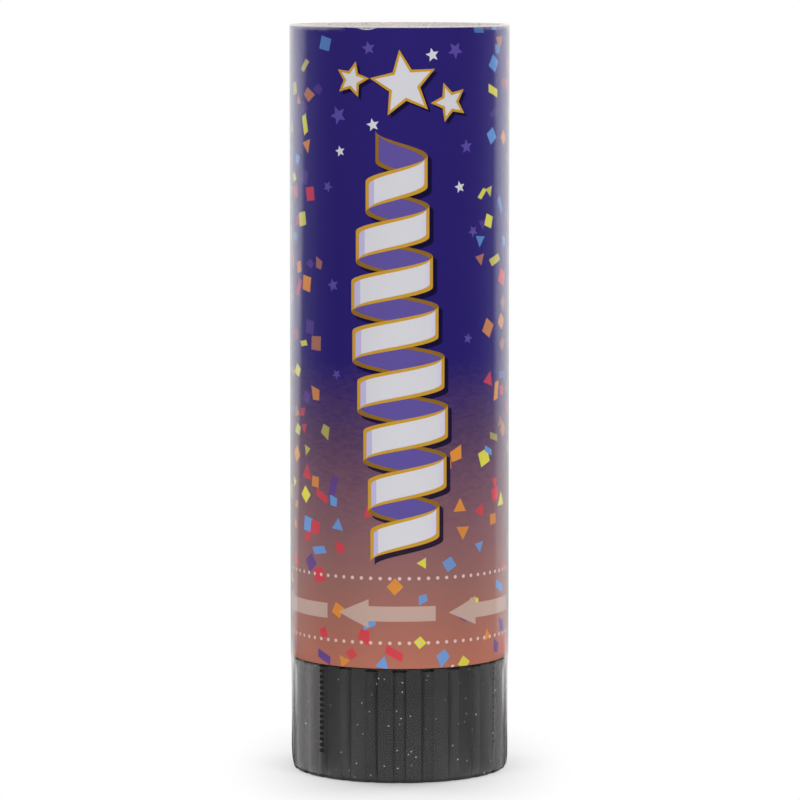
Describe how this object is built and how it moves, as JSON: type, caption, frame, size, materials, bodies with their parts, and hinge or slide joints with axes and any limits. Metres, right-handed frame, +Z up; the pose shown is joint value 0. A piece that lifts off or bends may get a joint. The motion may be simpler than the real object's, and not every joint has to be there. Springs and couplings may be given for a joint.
{
  "type": "confetti popper",
  "caption": "Upright confetti popper: a printed card barrel in clear shrink film on a black fluted base, which is twisted to release the spring inside.",
  "frame": {"origin": "middle of the underside, on the surface that the popper stands on", "axes": "+Z up the barrel towards its mouth, -Y towards the front of the label, +X to the right of it"},
  "size_m": [0.05, 0.05, 0.17],
  "materials": {
    "wound_card": "matte",
    "label_paper": "gloss",
    "clear_film": "gloss",
    "socket_plastic": "satin",
    "grip_plastic": "satin",
    "stem_plastic": "satin",
    "washer_steel": "satin",
    "spring_steel": "satin",
    "pusher_plastic": "satin",
    "wad_card": "matte",
    "disc_card": "matte",
    "tissue_red": "matte",
    "tissue_orange": "matte",
    "tissue_yellow": "matte",
    "tissue_blue": "matte",
    "tissue_purple": "matte"
  },
  "bodies": {
    "barrel": {"barrel_tube": "wound_card", "printed_label": "label_paper", "shrink_film": "clear_film", "spring_socket": "socket_plastic", "drive_spring": "spring_steel"},
    "twist_base": {"twist_grip": "grip_plastic"},
    "pusher": {"pusher_cup": "pusher_plastic", "pusher_wad": "wad_card", "stem_washer": "washer_steel"},
    "latch": {"latch_stem": "stem_plastic"},
    "charge": {"confetti_red": "tissue_red", "confetti_orange": "tissue_orange", "confetti_yellow": "tissue_yellow", "confetti_blue": "tissue_blue", "confetti_purple": "tissue_purple"},
    "lid": {"muzzle_disc": "disc_card"}
  },
  "joints": [
    {"name": "base_twist", "type": "hinge", "parent": "barrel", "child": "twist_base", "pos_m": [0, 0, 0.0125], "axis": [0, 0, -1], "range_deg": [0, 60]},
    {"name": "pusher_launch", "type": "slide", "parent": "barrel", "child": "pusher", "axis": [0, 0, 1], "range_m": [0, 0.1], "deforming": ["drive_spring"]},
    {"name": "stem_turn", "type": "hinge", "parent": "pusher", "child": "latch", "pos_m": [0, 0, 0.038], "axis": [0, 0, -1], "range_deg": [0, 60]},
    {"name": "charge_eject", "type": "slide", "parent": "pusher", "child": "charge", "axis": [0, 0, 1], "range_m": [0, 0.06]},
    {"name": "lid_pop", "type": "slide", "parent": "charge", "child": "lid", "axis": [0, 0, 1], "range_m": [0, 0.05]}
  ],
  "couplings": [
    {"joint": "stem_turn", "follows": "base_twist", "ratio": 1}
  ]
}
